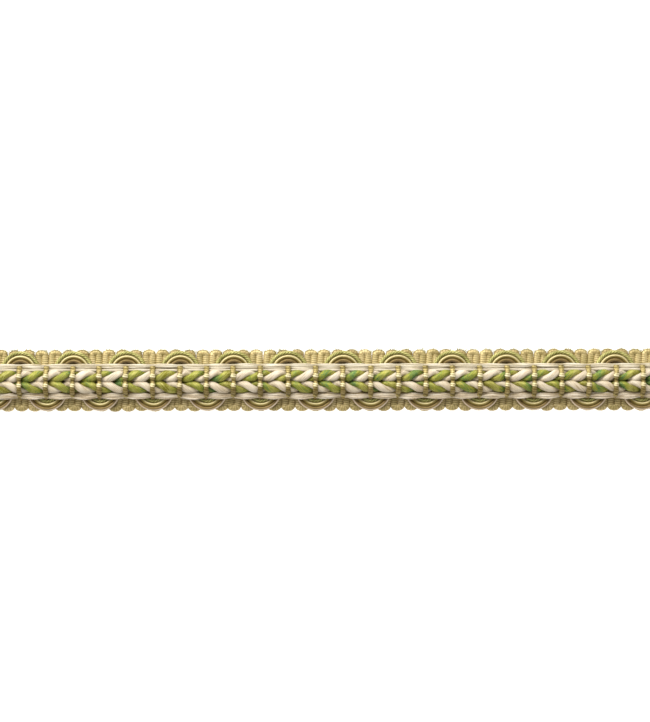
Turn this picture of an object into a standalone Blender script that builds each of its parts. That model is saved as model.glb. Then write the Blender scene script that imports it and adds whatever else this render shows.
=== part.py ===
"""A straight cut length of gimp braid trim, lying face up on its flat underside.

X runs along the trim, Y across it and Z up. The origin is at the middle of the underside. A flat braid of
zigzag cord carries three parallel cords laid in scrolls. Over the middle of the scrolls run two twisted
cords between two plain ones, and a short tie crosses them at every crown of the scrolls.
"""

import math

import bmesh
import bpy

MM = 0.001

# Driving dimensions of the whole trim
REPEAT = 14.0 * MM
REPEATS = 13
WIDTH = 16.0 * MM
GAP = 0.3 * MM
LENGTH = REPEAT * REPEATS

# The ground: eight legs of zigzag cord a repeat, turning in small loops at both edges
LEGS_A_REPEAT = 8
LEG_CREST = 1.1 * MM
LEG_VALLEY = 0.65 * MM
TURN_CREST = 0.95 * MM
TURN_VALLEY = 0.5 * MM
EDGE_HEIGHT = 0.45 * MM
NOTCH_DEPTH = 0.75 * MM
TURN_LENGTHS = (0.0, 0.45 * MM, 1.15 * MM)
# At each of those lengths in from the edge: the height where cord lies, and where there is a valley
TURN_HEIGHTS = ((EDGE_HEIGHT, EDGE_HEIGHT), (TURN_CREST, TURN_VALLEY), (LEG_CREST, LEG_VALLEY))

# The scroll: round crowns joined by straight sides
CROWN_RADIUS = 3.9 * MM
SCROLL_HALF_HEIGHT = 6.22 * MM
SCROLL_CENTRE_Y = -0.26 * MM
SCROLL_PITCH = 1.04 * MM
SCROLL_THICKNESS = 0.7 * MM
DOME_SHOULDER = 0.6 * SCROLL_THICKNESS
CROWN_STEPS = 6

# The four cords along the middle: where each lies across the trim, and its half width and half height
CORD_FLATNESS = 0.77
WAIST_FULLNESS = 0.95
UPPER_EDGE_CORD = {"y": 3.7 * MM, "half_width": 0.62 * MM, "half_height": 0.6 * MM}
UPPER_TWIST = {"y": 1.2 * MM, "half_width": 1.48 * MM, "half_height": 1.14 * MM}
LOWER_TWIST = {"y": -1.86 * MM, "half_width": 1.28 * MM, "half_height": 0.985 * MM}
LOWER_EDGE_CORD = {"y": -4.3 * MM, "half_width": 0.85 * MM, "half_height": 0.7 * MM}
UPPER_LAY = 8.07 * MM
LOWER_LAY = 8.6 * MM
STEPS_A_LAY = 8
EDGE_CORD_SIDES = 8

# The ties: short flat straps, one at each crown
TIE_WIDTH = 1.2 * MM
TIE_THICKNESS = 0.5 * MM
TIE_TOP_Y = 2.9 * MM
TIE_FOOT_Y = -4.4 * MM
TIE_STATIONS = 14

# Levels that follow from the sizes above
SCROLL_BOTTOM = LEG_CREST + GAP
CENTRE_BOTTOM = SCROLL_BOTTOM + SCROLL_THICKNESS + GAP

# Colours of the yarns, linear red, green and blue
COLOURS = {
    "ground_gold": (0.45, 0.31, 0.11),
    "scroll_green": (0.42, 0.47, 0.10),
    "scroll_gold": (0.62, 0.48, 0.20),
    "scroll_rose": (0.58, 0.40, 0.27),
    "edge_cream": (0.76, 0.68, 0.52),
    "twist_green": (0.36, 0.42, 0.12),
    "tie_gold": (0.60, 0.47, 0.20),
}
YARN_ROUGHNESS = 0.6


def clear_scene():
    for obj in list(bpy.data.objects):
        bpy.data.objects.remove(obj)


def new_collection(name):
    collection = bpy.data.collections.new(name)
    bpy.context.scene.collection.children.link(collection)
    return collection


def yarn(name):
    material = bpy.data.materials.new(name)
    material.use_nodes = True
    shader = material.node_tree.nodes["Principled BSDF"]
    shader.inputs["Base Color"].default_value = (*COLOURS[name], 1.0)
    shader.inputs["Roughness"].default_value = YARN_ROUGHNESS
    shader.inputs["Metallic"].default_value = 0.0
    return material


def centre_height(cord):
    return CENTRE_BOTTOM + cord["half_height"]


def edge_inset(x, shift):
    """How far the looped edge lies inside the full width: nothing at a loop's tip, a notch between two."""
    loop = 2 * REPEAT / LEGS_A_REPEAT
    return NOTCH_DEPTH * (1 - math.sqrt(abs(math.sin(math.pi * (x / loop + shift)))))


def ground_braid(collection, material):
    """The flat braid: a grid whose columns fall on the crests of the legs and the valleys between them."""
    columns = 2 * LEGS_A_REPEAT * REPEATS
    rows = 2 * len(TURN_LENGTHS) - 1
    mesh = bpy.data.meshes.new("ground_braid")
    shape = bmesh.new()
    bmesh.ops.create_grid(shape, x_segments=columns, y_segments=rows, size=0.5)
    for vert in shape.verts:
        column = round((vert.co.x + 0.5) * columns)
        row = round((vert.co.y + 0.5) * rows)
        side = 1 if 2 * row > rows else -1
        depth = min(row, rows - row)
        x = column / columns * LENGTH
        # Loops alternate: the far edge has its tips half a loop away from the near edge's.
        inset = edge_inset(x, 0.0 if side > 0 else 0.5)
        at_tip = column % 2 == 0 and inset < NOTCH_DEPTH / 2
        raised = column % 2 == 1 or (at_tip and depth < 2)
        vert.co.x = x - LENGTH / 2
        vert.co.y = side * (WIDTH / 2 - inset * (depth < 2) - TURN_LENGTHS[depth])
        vert.co.z = TURN_HEIGHTS[depth][0 if raised else 1]
    grown = bmesh.ops.extrude_face_region(shape, geom=shape.faces[:], use_keep_orig=True)
    for item in grown["geom"]:
        if isinstance(item, bmesh.types.BMVert):
            item.co.z = 0.0
    bmesh.ops.recalc_face_normals(shape, faces=shape.faces[:])
    shape.to_mesh(mesh)
    shape.free()
    mesh.materials.append(material)
    collection.objects.link(bpy.data.objects.new("ground_braid", mesh))


def section(name, points, guides):
    """A closed outline, given anticlockwise, that a cord's curve is swept with."""
    curve = bpy.data.curves.new(name, "CURVE")
    curve.dimensions = "2D"
    outline = curve.splines.new("POLY")
    outline.points.add(len(points) - 1)
    for place, (across, up) in zip(outline.points, reversed(points)):
        place.co = (across, up, 0.0, 1.0)
    outline.use_cyclic_u = True
    guide = bpy.data.objects.new(name, curve)
    guide.hide_render = True
    guide.display_type = "WIRE"
    guides.objects.link(guide)
    return guide


def cord(name, route, outline, material, collection, turns=None):
    """A cord along the route's points. With turns, the outline turns by that angle at each point."""
    curve = bpy.data.curves.new(name, "CURVE")
    curve.dimensions = "3D"
    curve.twist_mode = "Z_UP"
    curve.bevel_mode = "OBJECT"
    curve.bevel_object = outline
    curve.use_fill_caps = True
    path = curve.splines.new("POLY")
    path.points.add(len(route) - 1)
    for index, (x, y) in enumerate(route):
        path.points[index].co = (x, y, 0.0, 1.0)
        if turns:
            path.points[index].tilt = turns[index]
    curve.materials.append(material)
    obj = bpy.data.objects.new(name, curve)
    collection.objects.link(obj)
    return obj


def scroll_route(offset):
    """Crowns left and right of the middle in turn, each an arc, with the straight side between two arcs.

    A positive offset lies outside the crowns at +Y and inside those at -Y, so that routes stay parallel.
    """
    across = REPEAT / 2
    along = 2 * (SCROLL_HALF_HEIGHT - CROWN_RADIUS)
    lean = math.atan2(along, across) + math.asin(2 * CROWN_RADIUS / math.hypot(along, across)) - math.pi / 2
    route = []
    for crown in range(2 * REPEATS + 1):
        side = 1 if crown % 2 == 0 else -1
        x = crown * across - LENGTH / 2
        y = SCROLL_CENTRE_Y + side * (SCROLL_HALF_HEIGHT - CROWN_RADIUS)
        radius = CROWN_RADIUS + side * offset
        half_sweep = math.pi / 2 + lean
        first = CROWN_STEPS // 2 if crown == 0 else 0
        last = CROWN_STEPS // 2 if crown == 2 * REPEATS else CROWN_STEPS
        for step in range(first, last + 1):
            angle = half_sweep * (2 * step / CROWN_STEPS - 1)
            route.append((x + radius * math.sin(angle), y + side * radius * math.cos(angle)))
    return route


def scroll_cords(collection, guides):
    """Three cords side by side, flat below and domed above."""
    half = (SCROLL_PITCH - GAP) / 2
    dome = (
        (half, 0.0),
        (half, DOME_SHOULDER),
        (0.0, SCROLL_THICKNESS),
        (-half, DOME_SHOULDER),
        (-half, 0.0),
    )
    outline = section("scroll_section", dome, guides)
    for place, colour in ((1, "green"), (0, "gold"), (-1, "rose")):
        route = scroll_route(place * SCROLL_PITCH)
        obj = cord("scroll_cord_" + colour, route, outline, yarn("scroll_" + colour), collection)
        obj.location.z = SCROLL_BOTTOM


def straight_cord(name, sizes, outline, material, collection, turns):
    stations = len(turns)
    route = [(LENGTH * (i / (stations - 1) - 0.5), 0.0) for i in range(stations)]
    obj = cord(name, route, outline, material, collection, turns)
    obj.location = (0.0, sizes["y"], centre_height(sizes))
    return obj


def edge_cord(name, sizes, material, collection, guides):
    oval = []
    for side in range(EDGE_CORD_SIDES):
        angle = 2 * math.pi * (side + 0.5) / EDGE_CORD_SIDES
        oval.append((sizes["half_width"] * math.cos(angle), sizes["half_height"] * math.sin(angle)))
    outline = section(name + "_section", oval, guides)
    straight_cord(name, sizes, outline, material, collection, (0.0, 0.0))


def twisted_cord(name, sizes, lay, hand, material, collection, guides):
    """Two strands laid round each other: a waisted outline that turns once in each lay.

    A hand of -1 is the same cord mirrored, with its strands slanting the other way.
    """
    reach = sizes["half_width"]
    strand = reach / 2
    waisted = (
        (reach, 0.0),
        (strand, WAIST_FULLNESS * strand),
        (-strand, WAIST_FULLNESS * strand),
        (-reach, 0.0),
        (-strand, -WAIST_FULLNESS * strand),
        (strand, -WAIST_FULLNESS * strand),
    )
    outline = section(name + "_section", waisted, guides)
    steps = round(STEPS_A_LAY * LENGTH / lay)
    turns = [2 * math.pi * LENGTH / lay * step / steps for step in range(steps + 1)]
    obj = straight_cord(name, sizes, outline, material, collection, turns)
    obj.scale = (1.0, hand, CORD_FLATNESS)


def height_over_cords(y):
    """The lowest that a tie's underside may lie at y to clear the cords below it."""
    highest = 0.0
    for sizes in (UPPER_TWIST, LOWER_TWIST, LOWER_EDGE_CORD):
        reach = (y - sizes["y"]) / (sizes["half_width"] + GAP)
        rise = (sizes["half_height"] + GAP) * math.sqrt(max(0.0, 1 - reach * reach))
        highest = max(highest, centre_height(sizes) + rise if abs(reach) < 1 else 0.0)
    return highest


def ties(collection, material):
    """Short straps that follow the cords from the upper plain cord to the lower one."""
    places = [TIE_TOP_Y + (TIE_FOOT_Y - TIE_TOP_Y) * i / (TIE_STATIONS - 1) for i in range(TIE_STATIONS)]
    below = [(y, height_over_cords(y)) for y in places]
    above = [(y, z + TIE_THICKNESS) for y, z in reversed(below)]
    curve = bpy.data.curves.new("tie", "CURVE")
    curve.dimensions = "2D"
    curve.fill_mode = "BOTH"
    curve.extrude = TIE_WIDTH / 2
    outline = curve.splines.new("POLY")
    outline.points.add(2 * TIE_STATIONS - 1)
    for place, (y, z) in zip(outline.points, below + above):
        place.co = (y, z, 0.0, 1.0)
    outline.use_cyclic_u = True
    curve.materials.append(material)
    for index in range(1, 2 * REPEATS):
        obj = bpy.data.objects.new(f"tie_{index:02d}", curve)
        # The outline's own X and Y stand across the trim and up.
        obj.rotation_euler = (math.pi / 2, 0.0, math.pi / 2)
        obj.location.x = index * REPEAT / 2 - LENGTH / 2
        collection.objects.link(obj)


def build_trim():
    clear_scene()
    trim = new_collection("gimp_braid_trim")
    guides = new_collection("guides")
    ground_braid(trim, yarn("ground_gold"))
    scroll_cords(trim, guides)
    cream = yarn("edge_cream")
    edge_cord("edge_cord_upper", UPPER_EDGE_CORD, cream, trim, guides)
    edge_cord("edge_cord_lower", LOWER_EDGE_CORD, cream, trim, guides)
    green = yarn("twist_green")
    twisted_cord("twist_cord_upper", UPPER_TWIST, UPPER_LAY, -1, green, trim, guides)
    twisted_cord("twist_cord_lower", LOWER_TWIST, LOWER_LAY, 1, green, trim, guides)
    ties(trim, yarn("tie_gold"))


build_trim()
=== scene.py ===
"""The looks of a straight length of gimp braid trim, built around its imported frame.

Lengths in this file are millimetres unless a name or comment says otherwise, and meshes are written in
metres. X runs along the trim, Y across it (the photograph's up) and Z up. The far side is +Y and the
near side -Y. A gimp cord is a soft core wound closely with fine yarn, so each one here is swept along its
route with its windings as ribs. A filament yarn is swept with a fluted outline, one flute for each
filament that shows.
"""

import math

import bpy
import numpy as np
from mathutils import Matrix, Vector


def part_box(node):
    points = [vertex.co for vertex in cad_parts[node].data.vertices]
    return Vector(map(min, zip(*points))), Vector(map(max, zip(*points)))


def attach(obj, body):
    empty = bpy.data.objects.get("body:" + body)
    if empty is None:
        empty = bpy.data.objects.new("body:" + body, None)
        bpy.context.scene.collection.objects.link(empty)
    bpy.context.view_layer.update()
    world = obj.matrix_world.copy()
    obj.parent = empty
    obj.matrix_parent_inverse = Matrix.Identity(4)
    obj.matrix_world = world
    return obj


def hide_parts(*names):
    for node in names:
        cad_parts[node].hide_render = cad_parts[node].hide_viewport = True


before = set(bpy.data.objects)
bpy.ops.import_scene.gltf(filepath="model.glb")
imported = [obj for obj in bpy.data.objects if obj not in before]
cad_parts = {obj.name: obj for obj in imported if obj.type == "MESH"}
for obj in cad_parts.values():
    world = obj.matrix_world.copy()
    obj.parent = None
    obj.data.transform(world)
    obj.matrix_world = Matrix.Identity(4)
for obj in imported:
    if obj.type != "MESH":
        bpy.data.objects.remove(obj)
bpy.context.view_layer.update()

METRE = 1000.0
random = np.random.default_rng(57)


def node_box(node):
    """Lowest and highest corner of a node of the frame, in millimetres."""
    low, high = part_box(node)
    return np.array(low) * METRE, np.array(high) * METRE


# The whole trim, from the frame
GROUND_LOW, GROUND_HIGH = node_box("ground_braid")
LENGTH = GROUND_HIGH[0] - GROUND_LOW[0]
HALF_LENGTH = LENGTH / 2
HALF_WIDTH = (GROUND_HIGH[1] - GROUND_LOW[1]) / 2
REPEATS = 13
REPEAT = LENGTH / REPEATS
HALF_REPEAT = REPEAT / 2
TIE_NODES = sorted(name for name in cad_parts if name.startswith("tie_"))
TIE_NODE_PLACES = np.array([np.mean([corner[0] for corner in node_box(name)]) for name in TIE_NODES])

# The ground: a zigzag of gimp cord
LEGS = 8 * REPEATS
LEG_PITCH = LENGTH / LEGS
LEG_HALF_HEIGHT = 0.50
LEG_RIB_PITCH = 0.54
LEG_RIB_DEPTH = 0.18
# How far turns lie from their even places at random
TURN_JITTER = 0.08
# How far the loops' tips reach past the solid, and how far short of that one may stop
TIP_REACH = 0.12
TIP_JITTER = 2.5 * TURN_JITTER
# How far inside the near edge the cut legs at both ends stop
CUT_LEG_INSET = 1.0
FLOOR_CLEARANCE = 0.02
ROUTE_STEP = 0.05
# Where along Y, and how wide a leg is there: loose loops at +Y, pressed together along the middle
LEG_WIDTH_PLACES = (-8.0, -5.5, -4.0, 3.0, 4.9, 6.0, 8.0)
LEG_HALF_WIDTHS = (0.96, 1.04, 1.10, 1.10, 1.08, 0.97, 0.90)
# How far a leg lies from its turn's centre, in half widths: under 1, so that the two legs press together
LEG_OVERLAP = 0.93
FAR_TURN_DEPTH = 0.40
NEAR_TURN_DEPTH = 0.42
# The stretch along Y that the middle band covers, where the legs need fewer points
HIDDEN_LOW, HIDDEN_HIGH = -4.4, 3.8
# What share of its ribs' depth a leg has, by its place along Y
LEG_RIB_PLACES = (-6.9, -5.9, 5.6, 6.9)
LEG_RIB_SHARES = (0.5, 1.0, 0.9, 0.35)
# How deep in shade the ground is, by its place along Y
GROUND_SHADE_PLACES = (-8.0, -7.2, -6.2, -5.0, 4.0, 6.0, 7.2)
GROUND_SHADES = (0.50, 0.36, 0.18, 0.0, 0.0, 0.02, 0.34)
# How much deeper it is beside a far crown, by its distance from it along X, and where along Y that sets in
CROWN_SHADE_DISTANCES = (1.5, 4.6, 5.8)
CROWN_SHADES = (0.34, 0.2, 0.0)
CROWN_SHADE_START, CROWN_SHADE_FULL = 5.6, 6.6

# The loose fibres at the far loops. Along a fibre, its stations are shares of its length.
FUZZ_PER_LOOP = 90
FUZZ_LENGTHS = (0.35, 1.15)
FUZZ_RADIUS = 0.026
FUZZ_STATIONS = (0.0, 0.45, 1.0)
FUZZ_TAPER = (1.0, 0.9, 0.4)
# How far from a loop's middle they grow, and how much they fan out there and lean at random, in radians
FUZZ_SPREAD = 1.6
FUZZ_FAN = 0.5
FUZZ_SCATTER = 0.45
# How far behind the loop's tip their roots lie, how much further at its sides, and how high
FUZZ_ROOT_DEPTH = 0.25
FUZZ_ROOT_CURVE = 0.75
FUZZ_ROOT_HEIGHTS = (0.25, 0.9)
# How they rise and bend, as shares of their length
FUZZ_RISES = (-0.15, 0.25)
FUZZ_BEND = 0.25
FUZZ_LOWEST = 0.05
FUZZ_END_GAP = 0.3

# How far spacing drifts from even spacing, as hand-made work does: places along X, and the shift there
SWAY_PLACES = (-91, -50, -15, 20, 91)
SCROLL_SWAY = (0, -0.6, -0.9, -0.3, 0)
TIE_SWAY = (0, -0.7, -1.0, -0.3, 0)
FAR_EDGE_SWAY = (0, -0.1, -0.3, 0, 0)
NEAR_EDGE_SWAY = (0, -0.3, -0.9, -0.4, 0)

# The scroll: three gimp cords side by side
CROWN_RADIUS = 3.75
SCROLL_PITCH = 1.04
SCROLL_HALF_WIDTH = 0.53
SCROLL_HALF_HEIGHT = 0.46
SCROLL_LEVEL = 1.52
SCROLL_SHIFT = 0.2
# Half the width of a scroll cord's solid in the frame
SOLID_HALF_WIDTH = 0.37
# Where along Y the painted highlight lines start to fade towards the far crowns, and where they stop
HIGHLIGHT_FADE_PLACES = (-3, 3)

# Filament yarns: the step between rings, and the deepest shade in their grooves
FILAMENT_STEP = 0.45
FILAMENT_ROUGHNESS = 0.42
DEEPEST = 1.6

# The twisted cords: each strand is an oval that turns about the cord's axis
STRAND_REACH = 0.80
STRAND_HALF_WIDTH = 1.16
STRAND_HALF_THICKNESS = 0.86
CORD_FLATNESS = 0.78
# How high a cord's axis sits above the scroll, as a share of half its height
CORD_SEAT = 0.94
STRAND_FLUTES = 16
STRAND_FLUTE_DEPTH = 0.12
STRAND_SWELL = 0.07
STRAND_WOBBLE = 0.12
# How the flutes turn round a strand along its length, in radians for each millimetre, and how they wander
FLUTE_DRIFT = 0.02
FLUTE_WANDER = 0.1
STRAND_SHADE = 0.8
STRAND_SHADE_REACH = 1.1
# One step that a cut end is drawn in by. Cords that touch are drawn in by different numbers of steps, so
# that no two of their ends share one plane.
END_STEP = 0.05
# The length of one turn of each cord, and a place before the cut end where its green strand lies on top
UPPER_LAY, UPPER_FIRST_CREST = 8.055, -97.0
LOWER_LAY, LOWER_FIRST_CREST = 8.585, -92.0
# How far the turns slip along X from an even lay: places along X, and the shift in X there
UPPER_SLIP = ((-89, 0), (-65, -1.2), (-49, 0.4), (-24, 0.2), (0, 1.4), (36, -0.4), (64, 0.6), (80, -0.3))
LOWER_SLIP = ((-58, -0.1), (-49, 0.6), (-23, 1.3), (-6, 1.2), (11, 0.4), (28, 1.3), (37, 1.0), (45, 0))
# Each cord's axis along Y and half its width, and how far the lower cord is let down
UPPER_AXIS = 1.2
LOWER_AXIS = -1.62
UPPER_HALF = 1.62
LOWER_HALF = 1.60
LOWER_DROP = 0.12
# How much a tie draws in the cords under it, and over what distance
TIE_PINCH = 0.12
TIE_PINCH_REACH = 1.0

# The edge cords: flat bundles of plies, drawn in at the ties. Their waists lie this far along X from them.
PUFF_SHIFT = -0.3
EDGE_SEAT = 0.75
BUNDLE_SWELL = 0.05
# How the plies share the bundle's width and thickness, and how far the middle ones stand up
PLY_SPACING = 0.72
PLY_THICKNESS = 0.72
PLY_ARCH = 0.45
PLY_WANDER = 0.10
PLY_LIFT = 0.08
PLY_SWELL = 0.16
PLY_FLUTE_DEPTH = 0.14
PLY_FLUTE_DRIFT = 0.05
# How far apart the plies lie in the pattern of their colours, so that each has its own
PLY_COLOUR_SHIFT = 40

# The thin strand beside the upper edge cord
THIN_STRAND_STEP = 0.5
THIN_STRAND_RADIUS = 0.42
THIN_STRAND_LEVEL = 3.15
# How far inside the edge of the upper twisted cord's solid its middle lies
THIN_STRAND_INSET = 0.02
THIN_STRAND_WANDER = 0.05
THIN_STRAND_LIFT = 0.06
THIN_STRAND_SWELL = 0.15
THIN_STRAND_TWIST = 0.3
THIN_STRAND_FLUTE_DEPTH = 0.15
# How much a tie draws it in, and the steps that its cut ends are drawn in by
THIN_STRAND_PINCH = 0.3
THIN_STRAND_END_STEPS = 4.5

# The ties
TIE_FAR_END, TIE_NEAR_END = 3.8, -4.7
# How high a tie lies where no twisted cord holds it up, by its place along Y
TIE_END_PLACES = (-4.7, -4.4, -3.9, -3.2, 3.1, 3.8)
TIE_END_HEIGHTS = (2.0, 2.5, 2.85, 2.9, 3.35, 3.3)
TIE_HALF_WIDTH = 0.82
TIE_HALF_HEIGHT = 0.32
# How far a tie's middle lies above a cord, in half heights of the tie: under 1, so that it presses in
TIE_SEAT = 0.6
TIE_FULLNESS = 0.7
TIE_RIB_PITCH = 0.56
TIE_RIB_DEPTH = 0.20
TIE_STATIONS = 120
# How much narrower a tie is away from its crests
TIE_NARROWING = 0.33
# A tie wanders along X by up to this at three places along it, which are given along -Y
TIE_LEAN = 0.12
TIE_LEAN_PLACES = (-3.4, 0.0, 5.0)
# How much wider it spreads, by its place along Y
TIE_WIDTH_PLACES = (-5.0, -4.0, -2.6, -1.8, 0.0, 1.8, 2.8)
TIE_WIDTH_SHARES = (1.0, 1.25, 1.35, 1.0, 1.0, 1.0, 1.35)
# How deep in shade a tie is, by its place along Y
TIE_SHADE_PLACES = (-4.7, -4.2, -3.9, -3.4, -2.2, -1.7, 0.9, 1.3, 2.4)
TIE_SHADES = (0.9, 0.7, 0.1, 0.45, 0.66, 0.4, 0.4, 0.0, 0.0)
# Its crests over the two cords: where each lies along Y and how strong it is, and how far the fullness and
# the painted highlight of a crest reach along Y
TIE_CRESTS = ((1.2, 1.0), (-1.15, 0.85))
TIE_CREST_REACH = 0.55
TIE_HIGHLIGHT_REACH = 0.52
TIE_HIGHLIGHT_SHARE = 0.98

# The surroundings, with the floor's size and gap in metres
FLOOR_SIZE = 4.0
FLOOR_GAP = 0.0002
FLOOR_COLOUR = (0.85, 0.85, 0.85)
FLOOR_GLOW = 0.8
WORLD_STRENGTH = 0.48

# The camera looks straight down. The trim's real width, and its width in pixels of the photograph:
TRIM_WIDTH = 16.0
TRIM_PIXELS = 61.75
PIXEL = TRIM_WIDTH / TRIM_PIXELS
# The height above the floor at which a pixel is that long
SCALE_LEVEL = 2.0
FRAME_PIXELS = (650, 722)
TRIM_ROW = 380.3
FIRST_CROWN_COLUMN = 21.0
TRIM_SLOPE = math.radians(0.115)
LENS = 100.0
SENSOR = 36.0


def swayed(x, amounts):
    """A place along the trim, moved as far as the spacing drifts there."""
    return x + np.interp(x, SWAY_PLACES, amounts)


def green_crests(first, lay, slip):
    """The places along the trim where a cord's green strand lies on top, from end to end."""
    even = first + lay * np.arange(math.ceil(LENGTH / lay) + 3)
    places, shifts = zip(*slip)
    return even + np.interp(even, places, shifts)


TIE_PLACES = swayed(TIE_NODE_PLACES, TIE_SWAY)

# Sweeping


def smooth_noise(places, spacing):
    """Values from -1 to 1 that wander smoothly along the given places, which are in millimetres."""
    places = np.asarray(places, float)
    low = places.min()
    count = int((places.max() - low) / spacing) + 4
    knots = random.uniform(-1, 1, count)
    at = (places - low) / spacing
    index = at.astype(int)
    share = at - index
    share = share * share * (3 - 2 * share)
    return knots[index] * (1 - share) + knots[index + 1] * share


def arc_length(path):
    steps = np.linalg.norm(np.diff(path, axis=0), axis=1)
    return np.concatenate([[0.0], np.cumsum(steps)])


def resampled(path, step):
    """The path with points a step apart. The step may be a function of the path's points."""
    along = arc_length(path)
    if callable(step):
        density = 1 / step(path)
        share = np.concatenate([[0.0], np.cumsum((density[1:] + density[:-1]) / 2 * np.diff(along))])
        wanted = np.interp(np.arange(0, int(share[-1]) + 1), share, along)
    else:
        wanted = np.arange(0, along[-1], step)
    return np.stack([np.interp(wanted, along, path[:, k]) for k in range(3)], 1)


def unit(vectors):
    return vectors / np.linalg.norm(vectors, axis=1, keepdims=True)


def tangents(path):
    return unit(np.gradient(path, axis=0))


def swept(path, sides_across, sides_up, across, up):
    """Rings round a path: sides_across and sides_up are (points, sides) offsets along across and up."""
    return (
        path[:, None, :]
        + across[:, None, :] * sides_across[:, :, None]
        + up[:, None, :] * sides_up[:, :, None]
    )


def ribbed(along, angles, pitch, depth, starts=1):
    """How far each point of a wound cord stands out: round ribs with narrow grooves, wound as a helix."""
    phase = along[:, None] / pitch - starts * angles[None, :] / (2 * np.pi)
    return 1 - depth * (1 - np.abs(np.sin(np.pi * phase)))


def gimp(path, half_width, half_height, pitch, depth, sides=8, starts=1, step=None, fade=None, shade=None):
    """A wound cord that lies flat along a path, as a tube for new_piece.

    A fade gives each point's share of the rib depth, and a shade the painted shade that is added to the
    painted shade of its grooves.
    """
    path = resampled(path, step or pitch / 4)
    along = arc_length(path)
    ahead = tangents(path)
    up = np.tile([0.0, 0.0, 1.0], (len(path), 1))
    across = unit(np.cross(ahead, up))
    up = unit(np.cross(across, ahead))
    angles = np.arange(sides) * 2 * np.pi / sides
    bulge = ribbed(along, angles, pitch, fade(path)[:, None] * depth if fade else depth, starts)
    if callable(half_width):
        half_width = half_width(path)[:, None]
    overs = half_width * np.cos(angles) * bulge
    ups = half_height * np.sin(angles) * bulge
    rings = swept(path, overs, ups, across, up)
    # Painted shade deep between the windings, plus the painted shade that the caller adds
    painted_shade = (1 - bulge) / depth
    if shade:
        painted_shade = np.clip(painted_shade + shade(path)[:, None], 0, 1)
    return rings, along, painted_shade


def fluted(angles, flutes, depth):
    return 1 - depth * (1 - np.abs(np.cos(flutes * angles / 2)))


# Meshes


# What a cell of the bake map leaves empty at each side, and what a tube uses of it
CELL_MARGIN = 0.02
CELL_USED = 0.96


def new_piece(name, tubes, material, nodes):
    """One mesh from tubes. A tube has its rings (rings, sides, 3), the length along at each ring, and how
    deep in painted shade each point lies, from 0 to 1: the painted shade of its grooves, and any painted
    shade under or beside other parts.

    The bake map lays the tubes out as rows: one cell for each step along, and one for each end.
    """
    points, loops, starts, maps = [], [], [], []
    labels = {"along": [], "strand": [], "painted_shade": [], "across": []}
    cells = sum(len(rings) + 1 for rings, _, _ in tubes)
    sizes = [np.linalg.norm(np.diff(rings, axis=1), axis=2).sum(1).mean() for rings, _, _ in tubes]
    rows = max(1, round(math.sqrt(sum(along[-1] - along[0] for _, along, _ in tubes) / np.mean(sizes))))
    columns = math.ceil(cells / rows)
    cell = 0
    base = 0
    corner = 0
    for number, (rings, along, painted_shade) in enumerate(tubes):
        count, sides, _ = rings.shape
        ends = np.stack([rings[0].mean(0), rings[-1].mean(0)])
        points.append(np.concatenate([rings.reshape(-1, 3), ends]))
        labels["along"].append(np.concatenate([np.repeat(along, sides), along[[0, -1]]]))
        labels["strand"].append(np.full(count * sides + 2, float(number)))
        labels["painted_shade"].append(np.concatenate([painted_shade.ravel(), [0.0, 0.0]]))
        round_it = np.minimum(np.arange(sides), sides - np.arange(sides)) * 2 / sides
        labels["across"].append(np.concatenate([np.tile(round_it, count), [0.0, 0.0]]))
        ring, side = np.meshgrid(np.arange(count - 1), np.arange(sides), indexing="ij")
        following = (side + 1) % sides
        quads = np.stack(
            [
                ring * sides + side,
                ring * sides + following,
                (ring + 1) * sides + following,
                (ring + 1) * sides + side,
            ],
            -1,
        ).reshape(-1, 4)
        around = np.arange(sides)
        beside = (around + 1) % sides
        last = (count - 1) * sides
        first_cap = np.stack([np.full(sides, count * sides), beside, around], 1)
        last_cap = np.stack([np.full(sides, count * sides + 1), last + around, last + beside], 1)
        at = np.stack([ring.ravel() + cell] * 4, 1)
        map_along = at % columns + np.array([0, 0, 1, 1])
        map_round = np.stack([side.ravel()] * 4, 1) + np.array([0, 1, 1, 0])
        map_round = (at // columns + CELL_MARGIN + CELL_USED * map_round / sides) / rows
        quad_map = np.stack([map_along / columns, map_round], -1)
        cap_maps = []
        for place in (cell + count - 1, cell + count):
            map_along = place % columns + np.array([0.5, 1.0, 1.0]) * np.ones((sides, 1))
            map_round = around[:, None] + np.array([0.5, 0.0, 1.0])
            map_round = (place // columns + CELL_MARGIN + CELL_USED * map_round / sides) / rows
            cap_maps.append(np.stack([map_along / columns, map_round], -1))
        cell += count + 1
        for faces, places in ((quads, quad_map), (first_cap, cap_maps[0]), (last_cap, cap_maps[1])):
            corners = faces.shape[1]
            loops.append((faces + base).ravel())
            maps.append(places.reshape(-1, 2))
            starts.append(corner + np.arange(len(faces)) * corners)
            corner += faces.size
        base += count * sides + 2
    points = np.concatenate(points) / METRE
    loops = np.concatenate(loops)
    starts = np.concatenate(starts)
    mesh = bpy.data.meshes.new(name)
    mesh.vertices.add(len(points))
    mesh.vertices.foreach_set("co", points.astype(np.float32).ravel())
    mesh.loops.add(len(loops))
    mesh.loops.foreach_set("vertex_index", loops.astype(np.int32))
    mesh.polygons.add(len(starts))
    mesh.polygons.foreach_set("loop_start", starts.astype(np.int32))
    mesh.update(calc_edges=True)
    mesh.shade_smooth()
    for label, values in labels.items():
        attribute = mesh.attributes.new(label, "FLOAT", "POINT")
        attribute.data.foreach_set("value", np.concatenate(values).astype(np.float32))
    bake_map = mesh.uv_layers.new(name="OFBake")
    bake_map.data.foreach_set("uv", np.concatenate(maps).astype(np.float32).ravel())
    mesh.materials.append(material)
    piece = bpy.data.objects.new(name, mesh)
    bpy.context.scene.collection.objects.link(piece)
    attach(piece, "root")
    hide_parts(*nodes)
    return piece


def add_label(piece, label, values):
    attribute = piece.data.attributes.new(label, "FLOAT", "POINT")
    attribute.data.foreach_set("value", values.astype(np.float32))


# Materials


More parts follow.
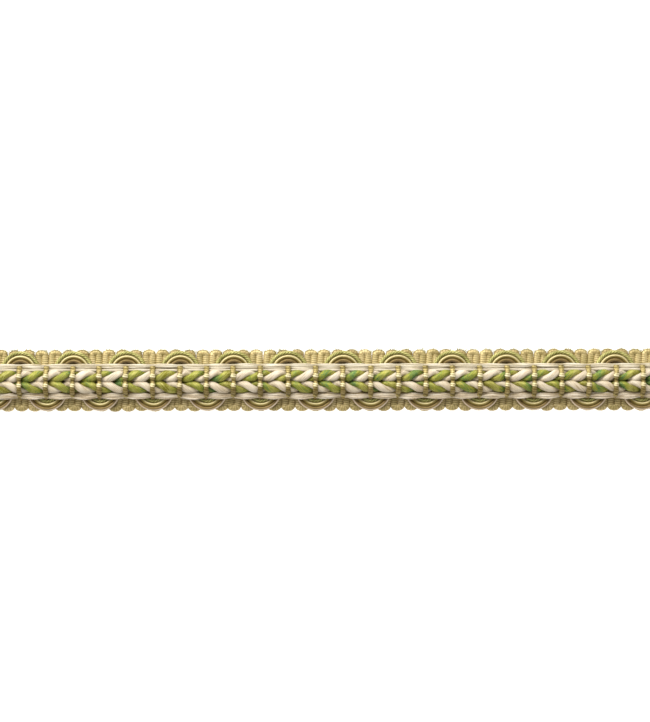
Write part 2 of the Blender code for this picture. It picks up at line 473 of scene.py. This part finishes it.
# Painted shade: what is left of a yarn's colour where it lies deepest in painted shade, in its grooves and
# under other parts: red, green and blue
PAINTED_SHADE_TINT = (0.28, 0.225, 0.08)
# Streaks along a yarn: their length is stretched, and they are this fine round it
STREAK_STRETCH = 0.02
STREAK_SCALE = 14.0
# Fibres: how fine they are, and their share of the colour and of the relief
FIBRE_SCALE = 3000.0
FIBRE_SHARE = 0.15
FIBRE_RELIEF_SHARE = 0.4
RELIEF_STRENGTH = 0.4
RELIEF_METRES = 0.00002


def yarn(
    name,
    stops,
    patch_length,
    roughness,
    metallic=0.0,
    painted_shade_strength=0.5,
    streak_share=0.3,
    winding=None,
    painted_highlight=None,
    gloss=0.5,
):
    """A yarn whose colour wanders over the stops along its length, with painted shade in its grooves and
    under other parts, and fine fibres.

    A winding is the pitch of the fine threads round a gimp cord. Other yarns have streaks along them. A
    painted highlight colour shows where its highlight label is set: on a tie's crests, or as a painted
    highlight line along a scroll cord.
    """
    material = bpy.data.materials.new(name)
    material.use_nodes = True
    tree = material.node_tree
    nodes, links = tree.nodes, tree.links
    shader = nodes["Principled BSDF"]
    shader.inputs["Metallic"].default_value = metallic
    shader.inputs["Roughness"].default_value = roughness
    shader.inputs["Specular IOR Level"].default_value = gloss

    def attribute(label):
        node = nodes.new("ShaderNodeAttribute")
        node.attribute_name = label
        return node.outputs["Fac"]

    def noise(vector, scale, detail):
        node = nodes.new("ShaderNodeTexNoise")
        node.inputs["Scale"].default_value = scale
        node.inputs["Detail"].default_value = detail
        links.new(vector, node.inputs["Vector"])
        return node.outputs["Fac"]

    def blend(first, second, factor):
        node = nodes.new("ShaderNodeMix")
        node.data_type = "FLOAT"
        node.inputs["Factor"].default_value = factor
        links.new(first, node.inputs["A"])
        links.new(second, node.inputs["B"])
        return node.outputs["Result"]

    place = nodes.new("ShaderNodeCombineXYZ")
    links.new(attribute("along"), place.inputs["X"])
    links.new(attribute("strand"), place.inputs["Y"])
    where = nodes.new("ShaderNodeTexCoord").outputs["Object"]
    patches = noise(place.outputs["Vector"], 1 / patch_length, 3.0 if winding else 1.0)
    streak_place = nodes.new("ShaderNodeCombineXYZ")
    stretched = nodes.new("ShaderNodeMath")
    stretched.operation = "MULTIPLY"
    stretched.inputs[1].default_value = STREAK_STRETCH
    links.new(attribute("along"), stretched.inputs[0])
    links.new(stretched.outputs["Value"], streak_place.inputs["X"])
    links.new(attribute("across"), streak_place.inputs["Y"])
    links.new(attribute("strand"), streak_place.inputs["Z"])
    streaks = noise(streak_place.outputs["Vector"], STREAK_SCALE, 2.0)
    fibre = noise(where, FIBRE_SCALE, 2.0)
    height = blend(blend(patches, streaks, streak_share), fibre, FIBRE_SHARE)

    ramp = nodes.new("ShaderNodeValToRGB")
    elements = ramp.color_ramp.elements
    while len(elements) < len(stops):
        elements.new(0.5)
    for element, (position, colour) in zip(elements, stops):
        element.position = position
        element.color = (*colour, 1.0)
    links.new(height, ramp.inputs["Fac"])

    # Painted shade: the colour is darkened towards the shade tint by how deep in painted shade each point
    # lies
    shade = nodes.new("ShaderNodeMapRange")
    shade.inputs["To Max"].default_value = painted_shade_strength
    links.new(attribute("painted_shade"), shade.inputs["Value"])
    shaded = nodes.new("ShaderNodeMix")
    shaded.data_type = "RGBA"
    shaded.blend_type = "MULTIPLY"
    shaded.inputs["B"].default_value = (*PAINTED_SHADE_TINT, 1.0)
    colour = ramp.outputs["Color"]
    # Painted highlight: the pale colour is mixed in where the highlight label is set
    if painted_highlight:
        crests = nodes.new("ShaderNodeMix")
        crests.data_type = "RGBA"
        crests.inputs["B"].default_value = (*painted_highlight, 1.0)
        links.new(attribute("highlight_share"), crests.inputs["Factor"])
        links.new(colour, crests.inputs["A"])
        colour = crests.outputs["Result"]
    links.new(colour, shaded.inputs["A"])
    links.new(shade.outputs["Result"], shaded.inputs["Factor"])
    links.new(shaded.outputs["Result"], shader.inputs["Base Color"])

    relief = streaks
    if winding:
        turns = nodes.new("ShaderNodeMath")
        turns.operation = "MULTIPLY"
        turns.inputs[1].default_value = 2 * math.pi / winding
        links.new(attribute("along"), turns.inputs[0])
        wave = nodes.new("ShaderNodeMath")
        wave.operation = "SINE"
        links.new(turns.outputs["Value"], wave.inputs[0])
        relief = wave.outputs["Value"]
    bump = nodes.new("ShaderNodeBump")
    bump.inputs["Strength"].default_value = RELIEF_STRENGTH
    bump.inputs["Distance"].default_value = RELIEF_METRES
    links.new(blend(relief, fibre, FIBRE_RELIEF_SHARE), bump.inputs["Height"])
    links.new(bump.outputs["Normal"], shader.inputs["Normal"])
    return material


# The ground


def leg_half_width(y):
    return np.interp(y, LEG_WIDTH_PLACES, LEG_HALF_WIDTHS)


def half_turn(centre_x, edge_y, side, depth, steps=9):
    """The route over one turn at an edge, from its left leg to its right leg."""
    angles = np.linspace(np.pi, 0.0, steps)
    half_width = leg_half_width(edge_y)
    x = centre_x + LEG_OVERLAP * half_width * np.cos(angles)
    y = edge_y - side * (half_width + depth) + side * depth * np.sin(angles)
    return np.stack([x, y], 1)


def ground_route():
    """The zigzag: far and near turns in order, joined by straight legs."""
    start_x = -HALF_LENGTH + 0.5 * LEG_PITCH
    start_y = -HALF_WIDTH + CUT_LEG_INSET
    points = [[[start_x, start_y]]]
    for turn in range(LEGS - 1):
        side = 1 if turn % 2 == 0 else -1
        depth = FAR_TURN_DEPTH if side > 0 else NEAR_TURN_DEPTH
        x = -HALF_LENGTH + (turn + 1) * LEG_PITCH + random.uniform(-TURN_JITTER, TURN_JITTER)
        x = swayed(x, FAR_EDGE_SWAY if side > 0 else NEAR_EDGE_SWAY)
        y = side * (HALF_WIDTH + TIP_REACH - random.uniform(0, TIP_JITTER))
        points.append(half_turn(x, y, side, depth))
    points.append([[-start_x, start_y]])
    flat = np.concatenate(points)
    return np.column_stack([flat, np.full(len(flat), LEG_HALF_HEIGHT + FLOOR_CLEARANCE)])


def ground_piece():
    crowns = swayed(-HALF_LENGTH + REPEAT * np.arange(REPEATS + 1), SCROLL_SWAY)

    def step(path):
        hidden = (path[:, 1] > HIDDEN_LOW) & (path[:, 1] < HIDDEN_HIGH)
        return np.where(hidden, LEG_RIB_PITCH / 2, LEG_RIB_PITCH / 4)

    def fade(path):
        return np.interp(path[:, 1], LEG_RIB_PLACES, LEG_RIB_SHARES)

    def shade(path):
        nearest = np.abs(path[:, 0][:, None] - crowns).min(1)
        beside_crown = np.interp(nearest, CROWN_SHADE_DISTANCES, CROWN_SHADES)
        beside_crown *= np.interp(path[:, 1], (CROWN_SHADE_START, CROWN_SHADE_FULL), (0.0, 1.0))
        return np.interp(path[:, 1], GROUND_SHADE_PLACES, GROUND_SHADES) + beside_crown

    def width(path):
        return leg_half_width(path[:, 1])

    route = resampled(ground_route(), ROUTE_STEP)
    tube = gimp(
        route,
        width,
        LEG_HALF_HEIGHT,
        LEG_RIB_PITCH,
        LEG_RIB_DEPTH,
        step=step,
        fade=fade,
        shade=shade,
    )
    stops = (
        (0.35, (0.46, 0.37, 0.13)),
        (0.47, (0.66, 0.53, 0.23)),
        (0.56, (0.80, 0.64, 0.31)),
        (0.66, (0.93, 0.80, 0.46)),
    )
    look = {"patch_length": 5.0, "roughness": 0.40, "metallic": 0.3, "painted_shade_strength": 1.0, "winding": 0.11}
    material = yarn("ground_gold", stops, **look)
    new_piece("ground_gimp", [tube], material, ["ground_braid"])


def fuzz_piece():
    """The short loose fibres that stand out from the far loops, as thin tubes with three sides."""
    tubes = []
    sides = 3
    angles = np.arange(sides) * 2 * np.pi / sides
    share = np.array(FUZZ_STATIONS)
    radius = FUZZ_RADIUS * np.array(FUZZ_TAPER)[:, None]
    limit = HALF_LENGTH - FUZZ_END_GAP
    for loop in range(LEGS // 2):
        centre = swayed(-HALF_LENGTH + (2 * loop + 1) * LEG_PITCH, FAR_EDGE_SWAY)
        for _ in range(FUZZ_PER_LOOP):
            place = random.uniform(-1, 1)
            heading = place * FUZZ_FAN + random.normal(0, FUZZ_SCATTER)
            length = random.uniform(*FUZZ_LENGTHS)
            x = np.clip(centre + FUZZ_SPREAD * place, -limit, limit)
            y = HALF_WIDTH - FUZZ_ROOT_DEPTH - FUZZ_ROOT_CURVE * place**2
            start = np.array([x, y, random.uniform(*FUZZ_ROOT_HEIGHTS)])
            ahead = np.array([math.sin(heading), math.cos(heading), random.uniform(*FUZZ_RISES)])
            bend = random.normal(0, FUZZ_BEND, 3) * length
            path = start + share[:, None] * ahead * length + (share**2)[:, None] * bend
            path[:, 0] = np.clip(path[:, 0], -HALF_LENGTH, HALF_LENGTH)
            path[:, 2] = np.maximum(path[:, 2], FUZZ_LOWEST)
            across = unit(np.cross(tangents(path), [0.0, 0.0, 1.0]))
            up = unit(np.cross(across, tangents(path)))
            rings = swept(path, radius * np.cos(angles), radius * np.sin(angles), across, up)
            tubes.append((rings, arc_length(path) + length * loop, np.zeros((len(share), sides))))
    stops = ((0.3, (0.30, 0.28, 0.10)), (0.7, (0.50, 0.46, 0.20)))
    material = yarn("ground_fuzz", stops, patch_length=2.0, roughness=0.8, painted_shade_strength=0.0)
    new_piece("ground_fuzz", tubes, material, ["ground_braid"])


# The scroll


def scroll_route(offset, middle_y, half_height, steps=24):
    """Crowns at +Y and -Y in turn, each an arc, with the straight side between two arcs."""
    rise = half_height - CROWN_RADIUS
    lean = math.atan2(2 * rise, HALF_REPEAT)
    lean += math.asin(2 * CROWN_RADIUS / math.hypot(2 * rise, HALF_REPEAT)) - math.pi / 2
    points = []
    for crown in range(2 * REPEATS + 1):
        side = 1 if crown % 2 == 0 else -1
        radius = CROWN_RADIUS + side * offset
        angles = np.linspace(-math.pi / 2 - lean, math.pi / 2 + lean, 2 * steps + 1)
        if crown == 0:
            angles = angles[steps:]
        if crown == 2 * REPEATS:
            angles = angles[: steps + 1]
        x = -HALF_LENGTH + crown * HALF_REPEAT + radius * np.sin(angles)
        y = middle_y + side * (rise + radius * np.cos(angles))
        points.append(np.stack([x, y], 1))
    flat = np.concatenate(points)
    flat[:, 0] = swayed(flat[:, 0], SCROLL_SWAY)
    return np.column_stack([flat, np.full(len(flat), SCROLL_LEVEL)])


def add_highlight_line(piece, rings, at, reach, far_share):
    """Mark the painted highlight line along one side of a scroll cord, as the share of it that shows at each
    point.
    """
    sides = rings.shape[1]
    angles = np.arange(sides) * 360 / sides
    # Full in its middle half, half strong at its reach, and gone at one and a half times that
    highlight = np.clip(1.5 - np.abs(angles - at) / reach, 0, 1)
    shown = np.interp(rings[:, :, 1], HIGHLIGHT_FADE_PLACES, (1, far_share))
    add_label(piece, "highlight_share", np.concatenate([(highlight * shown).ravel(), [0.0, 0.0]]))


def scroll_pieces():
    low, high = node_box("scroll_cord_gold")
    middle_y = (low[1] + high[1]) / 2 + SCROLL_SHIFT
    half_height = (high[1] - low[1]) / 2 - SOLID_HALF_WIDTH
    # Its place from the middle cord, the pitch and depth of its windings, the sides of its tube, the threads
    # wound side by side, and the points along one pitch
    shapes = {
        "green": (1, 0.86, 0.40, 16, 4, 8),
        "gold": (0, 0.30, 0.01, 20, 1, 2),
        "rose": (-1, 0.30, 0.01, 20, 1, 2),
    }
    # How metallic and glossy it is, how dark the painted shade in its grooves is, and its dark and its light
    # colour
    looks = {
        "green": (0.35, 0.4, 1.0, (0.30, 0.285, 0.065), (0.68, 0.64, 0.24)),
        "gold": (0.35, 0.15, 0.35, (0.22, 0.155, 0.035), (0.34, 0.25, 0.07)),
        "rose": (0.45, 0.15, 0.35, (0.165, 0.113, 0.036), (0.25, 0.173, 0.068)),
    }
    # Where its painted highlight line lies round the cord and half the line's width, both in degrees, how
    # much of the line shows at the far crowns, and its colour
    highlight_lines = {
        "gold": (118, 24, 1.0, (0.62, 0.53, 0.27)),
        "rose": (50, 20, 0.15, (0.76, 0.61, 0.44)),
    }
    for colour, (place, pitch, depth, sides, starts, points) in shapes.items():
        metallic, gloss, painted_shade_strength, dark, light = looks[colour]
        route = scroll_route(place * SCROLL_PITCH, middle_y, half_height)
        size = (SCROLL_HALF_WIDTH, SCROLL_HALF_HEIGHT)
        tube = gimp(route, *size, pitch, depth, sides, starts, pitch / points)
        look = {"patch_length": 3.0, "roughness": 0.34, "metallic": metallic, "gloss": gloss}
        look["painted_shade_strength"] = painted_shade_strength
        look["winding"] = 0.1
        if colour in highlight_lines:
            at, reach, far_share, look["painted_highlight"] = highlight_lines[colour]
        material = yarn("scroll_" + colour, ((0.38, dark), (0.62, light)), **look)
        node = "scroll_cord_" + colour
        piece = new_piece("scroll_gimp_" + colour, [tube], material, [node])
        if colour in highlight_lines:
            add_highlight_line(piece, tube[0], at, reach, far_share)


# The cords along the middle


def pinched(x, depth, reach=TIE_PINCH_REACH):
    """1 away from the ties, and less by depth under each."""
    nearest = np.abs(x[:, None] - TIE_PLACES[None, :]).min(1)
    return 1 - depth * np.exp(-((nearest / reach) ** 2))


def under_ties(x, reach, strength, shift=0.0):
    """How deep in shade a cord is at each place, from its ties: strength at them and 0 away from them."""
    nearest = np.abs(x[:, None] - shift - TIE_PLACES[None, :]).min(1)
    return strength * np.exp(-((nearest / reach) ** 2))


def straight_path(step):
    x = np.arange(-HALF_LENGTH, HALF_LENGTH + step / 2, step)
    return np.column_stack([x, np.zeros_like(x), np.zeros_like(x)])


def cut_back(path, steps):
    """The path drawn in at both cut ends by a number of steps."""
    path[:, 0] *= 1 - steps * END_STEP / HALF_LENGTH
    return path


def axes_along_x(count):
    across = np.tile([0.0, -1.0, 0.0], (count, 1))
    up = np.tile([0.0, 0.0, 1.0], (count, 1))
    return across, up


def smoothed(values, reach):
    """Each value replaced by the mean of those up to reach places away."""
    count = 2 * reach + 1
    padded = np.pad(values, reach, mode="reflect", reflect_type="odd")
    return np.convolve(padded, np.ones(count) / count, mode="valid")


def strand_tube(y, z, scale, hand, crests, start, shade, end_steps):
    """One strand of a twisted cord: turns are counted from its crests, and start is its turn at each."""
    path = straight_path(FILAMENT_STEP)
    x = path[:, 0]
    turns = smoothed(np.interp(x, crests, np.arange(len(crests))), reach=4)
    turn = hand * 2 * np.pi * (turns + start)
    size = scale * pinched(x, TIE_PINCH) * (1 + STRAND_SWELL * smooth_noise(x, spacing=3.0))
    angles = np.arange(3 * STRAND_FLUTES) * 2 * np.pi / (3 * STRAND_FLUTES)
    wobble = STRAND_WOBBLE * np.stack([smooth_noise(x, spacing=4.0) for _ in range(4)], 1).mean(1)
    slip = FLUTE_DRIFT * x[:, None] + FLUTE_WANDER * smooth_noise(x, spacing=5.0)[:, None]
    ridge = fluted(angles[None, :] + slip, STRAND_FLUTES, STRAND_FLUTE_DEPTH)
    # In the strand's own frame: outward from the cord's axis, and sideways round it.
    outward = STRAND_REACH + STRAND_HALF_THICKNESS * ridge * np.cos(angles)
    sideways = STRAND_HALF_WIDTH * ridge * np.sin(angles + wobble[:, None])
    cosine, sine = np.cos(turn)[:, None], np.sin(turn)[:, None]
    # At turn 0 outward is up; a positive turn leans towards +Y.
    ups = size[:, None] * (outward * cosine - sideways * sine) * CORD_FLATNESS
    overs = size[:, None] * (outward * sine + sideways * cosine)
    across, up = axes_along_x(len(x))
    path = cut_back(path + np.array([0.0, y, z]), end_steps)
    # Painted shade in the flutes between filaments and under the ties
    darkness = under_ties(x, STRAND_SHADE_REACH, STRAND_SHADE)[:, None]
    painted_shade = np.clip((1 - ridge) / STRAND_FLUTE_DEPTH + shade + darkness, 0, DEEPEST)
    return swept(path, -overs, ups, across, up), x + HALF_LENGTH, painted_shade


def cord_level(half):
    """The height of a twisted cord's axis: it sits on the scroll and presses into it a little."""
    return SCROLL_LEVEL + SCROLL_HALF_HEIGHT + half * CORD_FLATNESS * CORD_SEAT


def twist_pieces():
    upper_crests = green_crests(UPPER_FIRST_CREST, UPPER_LAY, UPPER_SLIP)
    lower_crests = green_crests(LOWER_FIRST_CREST, LOWER_LAY, LOWER_SLIP)
    # Its hand of twist, crests, axis along Y, half width, how far it lies lower, and how much painted shade
    # is added to it as shade from the upper cord
    cords = {
        "upper": (1, upper_crests, UPPER_AXIS, UPPER_HALF, 0.0, 0.0),
        "lower": (-1, lower_crests, LOWER_AXIS, LOWER_HALF, LOWER_DROP, 0.35),
    }
    green_stops = (
        (0.40, (0.07, 0.14, 0.03)),
        (0.435, (0.15, 0.27, 0.08)),
        (0.465, (0.26, 0.31, 0.05)),
        (0.50, (0.37, 0.36, 0.035)),
        (0.545, (0.56, 0.53, 0.17)),
        (0.59, (0.24, 0.22, 0.015)),
    )
    cream_stops = ((0.38, (0.50, 0.37, 0.22)), (0.48, (0.78, 0.66, 0.47)), (0.60, (0.88, 0.79, 0.64)))
    green_look = {"patch_length": 6.0, "roughness": FILAMENT_ROUGHNESS, "metallic": 0.3, "gloss": 0.25}
    green = yarn("twist_green", green_stops, painted_shade_strength=0.6, streak_share=0.4, **green_look)
    cream_look = {"patch_length": 4.0, "roughness": FILAMENT_ROUGHNESS, "streak_share": 0.65}
    cream = yarn("twist_cream", cream_stops, **cream_look)
    for number, (name, (hand, crests, y, half, drop, shade)) in enumerate(cords.items()):
        node = "twist_cord_" + name
        scale = half / (STRAND_REACH + STRAND_HALF_THICKNESS)
        z = cord_level(half) - drop
        tube = strand_tube(y, z, scale, hand, crests, 0.0, shade, 2 * number)
        new_piece(f"twist_{name}_green", [tube], green, [node])
        tube = strand_tube(y, z, scale, hand, crests, 0.5, shade, 2 * number + 1)
        new_piece(f"twist_{name}_cream", [tube], cream, [node])


def bundle(y, z, half_width, half_height, plies, pinch, reach, shade, sides=18):
    """A flat bundle of plies side by side, as tubes: it is drawn in at the ties and wanders a little."""
    path = straight_path(FILAMENT_STEP)
    x = path[:, 0]
    angles = np.arange(sides) * 2 * np.pi / sides
    across, up = axes_along_x(len(x))
    whole = pinched(x - PUFF_SHIFT, pinch, reach) * (1 + BUNDLE_SWELL * smooth_noise(x, spacing=4.0))
    darkness = under_ties(x, reach, shade, PUFF_SHIFT)[:, None]
    ply_width = half_width / (plies * PLY_SPACING)
    tubes = []
    for ply in range(plies):
        place = (ply - (plies - 1) / 2) * 2 * (half_width - ply_width) / max(plies - 1, 1)
        line = cut_back(path.copy(), ply + 0.5)
        line[:, 1] = y + whole * (place + PLY_WANDER * smooth_noise(x, spacing=5.0))
        crown = 1 - (place / half_width) ** 2
        line[:, 2] = z + whole * (half_height * PLY_ARCH * crown + PLY_LIFT * smooth_noise(x, spacing=4.0))
        size = (whole * (1 + PLY_SWELL * smooth_noise(x, spacing=3.5)))[:, None]
        ridge = fluted(angles[None, :] + PLY_FLUTE_DRIFT * x[:, None], sides // 3, PLY_FLUTE_DEPTH)
        overs = ply_width * np.cos(angles) * ridge * size
        ups = half_height * PLY_THICKNESS * np.sin(angles) * ridge * size
        # Painted shade in the flutes between filaments and under the ties
        painted_shade = np.clip((1 - ridge) / PLY_FLUTE_DEPTH + darkness, 0, DEEPEST)
        along = x + HALF_LENGTH + PLY_COLOUR_SHIFT * ply
        tubes.append((swept(line, overs, ups, across, up), along, painted_shade))
    return tubes


def edge_pieces():
    # How far it is moved along Y and widened, its plies, how far the ties draw it in and over what length,
    # and its shade under them
    shapes = {
        "upper": (0.0, 0.12, 3, 0.20, 1.6, 0.8),
        "lower": (0.33, 0.14, 4, 0.42, 1.7, 1.2),
    }
    colours = {
        "upper": ((0.38, (0.46, 0.37, 0.21)), (0.47, (0.70, 0.61, 0.43)), (0.60, (0.85, 0.785, 0.64))),
        "lower": ((0.38, (0.36, 0.26, 0.14)), (0.47, (0.62, 0.50, 0.33)), (0.60, (0.88, 0.79, 0.65))),
    }
    look = {"patch_length": 5.0, "roughness": FILAMENT_ROUGHNESS, "streak_share": 0.5}
    for name, (shift, width_gain, plies, pinch, reach, shade) in shapes.items():
        cream = yarn(f"edge_{name}_cream", colours[name], **look)
        node = "edge_cord_" + name
        low, high = node_box(node)
        y = (low[1] + high[1]) / 2 + shift
        half_width = (high[1] - low[1]) / 2 + width_gain
        half_height = (high[2] - low[2]) / 2
        z = SCROLL_LEVEL + SCROLL_HALF_HEIGHT + half_height * EDGE_SEAT
        tubes = bundle(y, z, half_width, half_height, plies, pinch, reach, shade)
        new_piece(f"edge_{name}_cream", tubes, cream, [node])


def second_strand():
    """The thin cream strand that shows on the near side of the upper edge cord."""
    _, high = node_box("twist_cord_upper")
    path = straight_path(THIN_STRAND_STEP)
    x = path[:, 0]
    sides = 12
    angles = np.arange(sides) * 2 * np.pi / sides
    size = THIN_STRAND_RADIUS * pinched(x, THIN_STRAND_PINCH)
    size = (size * (1 + THIN_STRAND_SWELL * smooth_noise(x, spacing=4.0)))[:, None]
    ridge = fluted(angles[None, :] + THIN_STRAND_TWIST * x[:, None], sides // 3, THIN_STRAND_FLUTE_DEPTH)
    across, up = axes_along_x(len(x))
    path = cut_back(path + np.array([0.0, high[1] - THIN_STRAND_INSET, 0.0]), THIN_STRAND_END_STEPS)
    path[:, 1] += THIN_STRAND_WANDER * smooth_noise(x, spacing=6.0)
    path[:, 2] = THIN_STRAND_LEVEL + THIN_STRAND_LIFT * smooth_noise(x, spacing=5.0)
    rings = swept(path, np.cos(angles) * ridge * size, np.sin(angles) * ridge * size, across, up)
    stops = ((0.35, (0.50, 0.41, 0.27)), (0.6, (0.70, 0.62, 0.47)))
    cream = yarn("edge_strand", stops, patch_length=4.0, roughness=FILAMENT_ROUGHNESS)
    # Painted shade in its flutes and under the ties
    darkness = under_ties(x, reach=1.5, strength=0.7)[:, None]
    painted_shade = np.clip((1 - ridge) / THIN_STRAND_FLUTE_DEPTH + darkness, 0, DEEPEST)
    tube = (rings, x + HALF_LENGTH, painted_shade)
    new_piece("edge_upper_strand", [tube], cream, ["edge_cord_upper"])


# The ties


def tie_heights(stations):
    """How high a tie lies at each place along Y: over both twisted cords, and lower at its ends."""
    heights = np.interp(stations, TIE_END_PLACES, TIE_END_HEIGHTS)
    for y, half in ((UPPER_AXIS, UPPER_HALF), (LOWER_AXIS, LOWER_HALF)):
        squeezed = half * (1 - TIE_PINCH)
        reach = (stations - y) / (squeezed + TIE_HALF_HEIGHT)
        rise = squeezed * CORD_FLATNESS + TIE_HALF_HEIGHT * TIE_SEAT
        over_cord = cord_level(half) + rise * np.sqrt(np.maximum(0, 1 - reach**2))
        heights = np.maximum(heights, np.where(np.abs(reach) < 1, over_cord, 0))
    return heights


def tie_piece():
    stations = np.linspace(TIE_FAR_END, TIE_NEAR_END, TIE_STATIONS)
    heights = tie_heights(stations)
    crests = sum(np.exp(-(((stations - y) / TIE_CREST_REACH) ** 2)) * share for y, share in TIE_CRESTS)
    widths = TIE_HALF_WIDTH * (1 - TIE_NARROWING * (1 - crests))
    widths *= np.interp(stations, TIE_WIDTH_PLACES, TIE_WIDTH_SHARES)
    deep = np.clip(1 - crests, 0, 1) * np.interp(stations, TIE_SHADE_PLACES, TIE_SHADES)
    tubes = []
    sides = 8
    angles = np.arange(sides) * 2 * np.pi / sides
    # Ties are flatter than an oval, with fuller sides
    full_cosine = np.sign(np.cos(angles)) * np.abs(np.cos(angles)) ** TIE_FULLNESS
    for x in TIE_PLACES:
        lean = random.uniform(-TIE_LEAN, TIE_LEAN, 3)
        wander = np.interp(-stations, TIE_LEAN_PLACES, lean)
        path = resampled(np.column_stack([x + wander, stations, heights]), TIE_RIB_PITCH / 6)
        along = arc_length(path)
        ahead = tangents(path)
        across = np.tile([1.0, 0.0, 0.0], (len(path), 1))
        up = np.cross(ahead, across)
        across = np.cross(ahead, up)
        bulge = ribbed(along, angles, TIE_RIB_PITCH, TIE_RIB_DEPTH)
        width = np.interp(-path[:, 1], -stations, widths)[:, None]
        overs = width * full_cosine * bulge
        ups = TIE_HALF_HEIGHT * np.sin(angles) * bulge
        rings = swept(path, overs, ups, across, up)
        # Painted shade along the tie away from its crests, deepest on its near part, added to the painted
        # shade of its ribs
        hidden = np.interp(-path[:, 1], -stations, deep)[:, None]
        tubes.append((rings, along, np.clip((1 - bulge) / TIE_RIB_DEPTH + hidden, 0, 1)))
    stops = ((0.38, (0.35, 0.27, 0.08)), (0.62, (0.60, 0.48, 0.19)))
    look = {"patch_length": 3.0, "roughness": 0.36, "metallic": 0.45, "painted_shade_strength": 0.95, "winding": 0.1}
    material = yarn("tie_gold", stops, painted_highlight=(0.95, 0.85, 0.53), **look)
    piece = new_piece("tie_gimp", tubes, material, TIE_NODES)
    # The painted highlight: a pale colour on the tie where it crosses the top of each cord
    points = np.empty(3 * len(piece.data.vertices), np.float32)
    piece.data.vertices.foreach_get("co", points)
    y = points[1::3] * METRE
    shown = sum(np.exp(-(((y - place) / TIE_HIGHLIGHT_REACH) ** 4)) * share for place, share in TIE_CRESTS)
    add_label(piece, "highlight_share", shown * TIE_HIGHLIGHT_SHARE)


# The surroundings


def glowing_floor():
    """A pale floor just below the trim, which glows so that it comes out white in the picture."""
    bpy.ops.mesh.primitive_plane_add(size=FLOOR_SIZE, location=(0.0, 0.0, -FLOOR_GAP))
    floor = bpy.context.object
    floor.name = "floor"
    material = bpy.data.materials.new("pale_floor")
    material.use_nodes = True
    shader = material.node_tree.nodes["Principled BSDF"]
    shader.inputs["Base Color"].default_value = (*FLOOR_COLOUR, 1.0)
    shader.inputs["Roughness"].default_value = 0.9
    shader.inputs["Emission Color"].default_value = (1.0, 1.0, 1.0, 1.0)
    shader.inputs["Emission Strength"].default_value = FLOOR_GLOW
    floor.data.materials.append(material)


def white_world():
    world = bpy.data.worlds.new("soft_white")
    world.use_nodes = True
    background = world.node_tree.nodes["Background"]
    background.inputs["Color"].default_value = (1.0, 1.0, 1.0, 1.0)
    background.inputs["Strength"].default_value = WORLD_STRENGTH
    bpy.context.scene.world = world


def lamps():
    """Two lamps that face the trim: a broad one above its far side, and a weak low one at its near side."""
    # Place in metres, width and height in metres, and power in watts
    for name, place, width, height, power in (
        ("key", (-0.25, 0.66, 0.62), 1.6, 0.4, 16.0),
        ("low", (0.1, -0.85, 0.22), 1.4, 0.15, 1.2),
    ):
        light = bpy.data.lights.new(name, "AREA")
        light.shape = "RECTANGLE"
        light.size = width
        light.size_y = height
        light.energy = power
        lamp = bpy.data.objects.new(name, light)
        lamp.location = place
        lamp.rotation_euler = (-lamp.location).to_track_quat("-Z", "Y").to_euler()
        bpy.context.scene.collection.objects.link(lamp)


def camera():
    width, height = FRAME_PIXELS
    first_crown = -HALF_LENGTH + REPEAT
    x = first_crown + (width / 2 - FIRST_CROWN_COLUMN) * PIXEL
    y = (TRIM_ROW - height / 2) * PIXEL
    distance = height * PIXEL * LENS / SENSOR
    lens = bpy.data.cameras.new("camera")
    lens.lens = LENS
    lens.sensor_width = SENSOR
    lens.clip_end = 10.0
    eye = bpy.data.objects.new("camera", lens)
    eye.location = (x / METRE, y / METRE, (distance + SCALE_LEVEL) / METRE)
    eye.rotation_euler = (0.0, 0.0, -TRIM_SLOPE)
    bpy.context.scene.collection.objects.link(eye)
    bpy.context.scene.camera = eye
    bpy.context.scene.view_settings.view_transform = "Standard"


ground_piece()
fuzz_piece()
scroll_pieces()
twist_pieces()
edge_pieces()
second_strand()
tie_piece()
glowing_floor()
white_world()
lamps()
camera()
